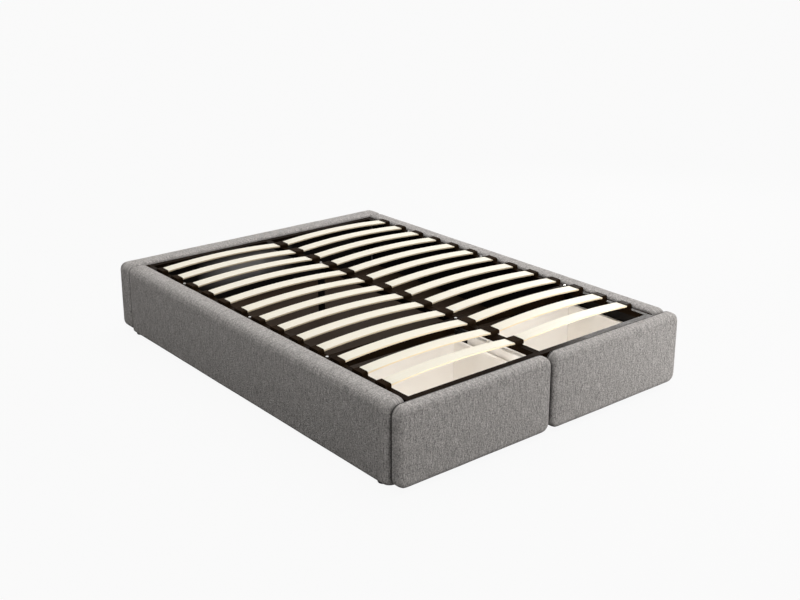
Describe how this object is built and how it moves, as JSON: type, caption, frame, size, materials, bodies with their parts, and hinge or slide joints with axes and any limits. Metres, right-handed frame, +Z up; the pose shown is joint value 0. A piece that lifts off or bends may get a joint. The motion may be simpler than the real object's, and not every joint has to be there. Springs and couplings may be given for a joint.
{
  "type": "storage bed base",
  "caption": "Upholstered low bed base with bowed wooden slats on a steel frame and two wide drawers sliding out at the foot end.",
  "frame": {"origin": "on the floor under the middle of the base", "axes": "+Z up, +Y towards the head end, drawers at -Y, +X to the right seen from the drawers"},
  "size_m": [1.6, 2.224, 0.3653],
  "materials": {
    "fabric": "woven grey chenille",
    "panel_board": "black lined board",
    "frame_steel": "dark brown powder coat",
    "holder_plastic": "moulded dark brown plastic",
    "slat_birch": "lacquered birch",
    "white_board": "white melamine",
    "base_board": "dark brown board",
    "zinc_bolt": "bright zinc",
    "runner_steel": "zinc plated",
    "black_plastic": "moulded black plastic",
    "black_steel": "black powder coat"
  },
  "bodies": {
    "bed_frame": {"base_battens": "base_board", "base_board": "base_board", "centre_leg": "black_steel", "centre_rail": "frame_steel", "centre_slat_holders": "holder_plastic", "corner_brackets": "frame_steel", "corner_feet": "black_plastic", "cross_beam": "frame_steel", "foot_rail": "frame_steel", "frame_bolts": "zinc_bolt", "head_board": "panel_board", "head_rail": "frame_steel", "head_upholstery": "fabric", "left_partition": "white_board", "left_rail": "frame_steel", "left_runner_tracks": "runner_steel", "left_side_board": "panel_board", "left_side_upholstery": "fabric", "left_slat_holders": "holder_plastic", "leg_pad": "black_plastic", "rail_brackets": "frame_steel", "right_partition": "white_board", "right_rail": "frame_steel", "right_runner_tracks": "runner_steel", "right_side_board": "panel_board", "right_side_upholstery": "fabric", "right_slat_holders": "holder_plastic", "slat_row_01": "slat_birch", "slat_row_02": "slat_birch", "slat_row_03": "slat_birch", "slat_row_04": "slat_birch", "slat_row_05": "slat_birch", "slat_row_06": "slat_birch", "slat_row_07": "slat_birch", "slat_row_08": "slat_birch", "slat_row_09": "slat_birch", "slat_row_10": "slat_birch", "slat_row_11": "slat_birch", "slat_row_12": "slat_birch", "slat_row_13": "slat_birch", "support_feet": "black_plastic"},
    "left_drawer": {"left_drawer_back": "white_board", "left_drawer_floor": "white_board", "left_drawer_inner_wall": "white_board", "left_drawer_outer_wall": "white_board", "left_front_board": "panel_board", "left_front_upholstery": "fabric", "left_runner_slides": "runner_steel"},
    "left_runner": {"left_runner_middles": "runner_steel"},
    "right_drawer": {"right_drawer_back": "white_board", "right_drawer_floor": "white_board", "right_drawer_inner_wall": "white_board", "right_drawer_outer_wall": "white_board", "right_front_board": "panel_board", "right_front_upholstery": "fabric", "right_runner_slides": "runner_steel"},
    "right_runner": {"right_runner_middles": "runner_steel"}
  },
  "joints": [
    {"name": "left_drawer_slide", "type": "slide", "parent": "bed_frame", "child": "left_drawer", "axis": [0, -1, 0], "range_m": [0, 0.45]},
    {"name": "left_runner_slide", "type": "slide", "parent": "bed_frame", "child": "left_runner", "axis": [0, -1, 0], "range_m": [0, 0.225]},
    {"name": "right_drawer_slide", "type": "slide", "parent": "bed_frame", "child": "right_drawer", "axis": [0, -1, 0], "range_m": [0, 0.45]},
    {"name": "right_runner_slide", "type": "slide", "parent": "bed_frame", "child": "right_runner", "axis": [0, -1, 0], "range_m": [0, 0.225]}
  ],
  "couplings": [
    {"joint": "left_runner_slide", "follows": "left_drawer_slide", "ratio": 0.5},
    {"joint": "right_runner_slide", "follows": "right_drawer_slide", "ratio": 0.5}
  ]
}
